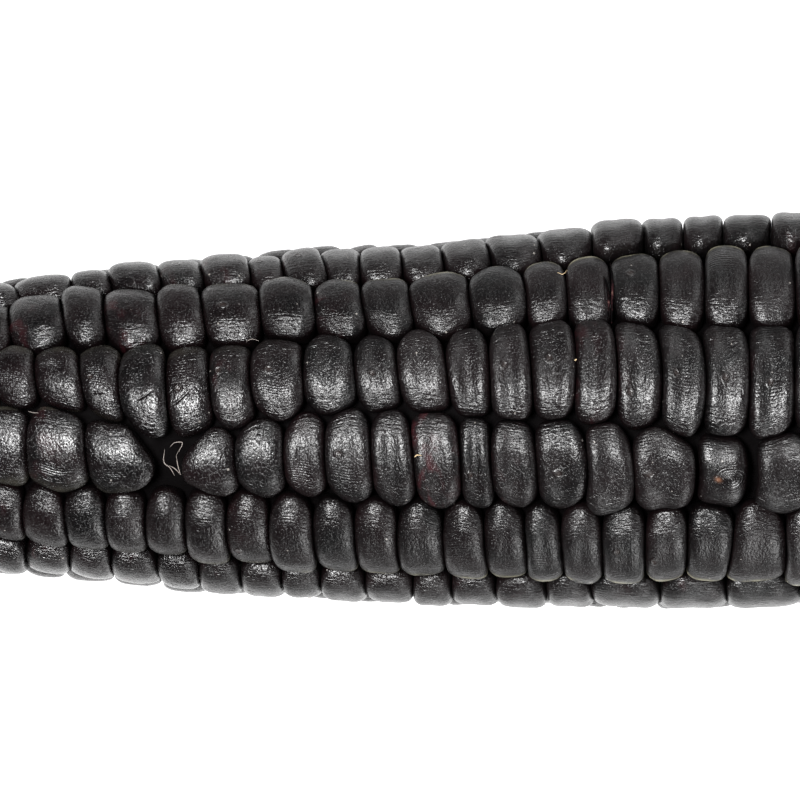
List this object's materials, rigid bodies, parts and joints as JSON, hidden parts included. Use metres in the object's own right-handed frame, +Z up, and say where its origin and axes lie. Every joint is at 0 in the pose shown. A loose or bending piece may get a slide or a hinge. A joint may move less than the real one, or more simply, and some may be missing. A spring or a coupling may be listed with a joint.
{
  "type": "corn cob",
  "caption": "Whole ear of black maize lying on its side: straight rows of glossy dark kernels on a woody cob, with a bare tip and a short stalk stub.",
  "frame": {"origin": "on the surface that the ear lies on, under the middle of its bounding box", "axes": "+X along the ear from its tip towards its stalk; +Z up, away from the surface that it lies on; +Y across the ear"},
  "size_m": [0.1816, 0.0444, 0.0436],
  "materials": {
    "kernel_black": "semi-matte leathery skin, near-black with a purple tint, soft highlights",
    "cob_straw": "dry matt woody cob, straw brown with a purple flush"
  },
  "bodies": {
    "root": {"kernels": "kernel_black", "cob_tip": "cob_straw", "stalk_stub": "cob_straw"}
  },
  "joints": []
}
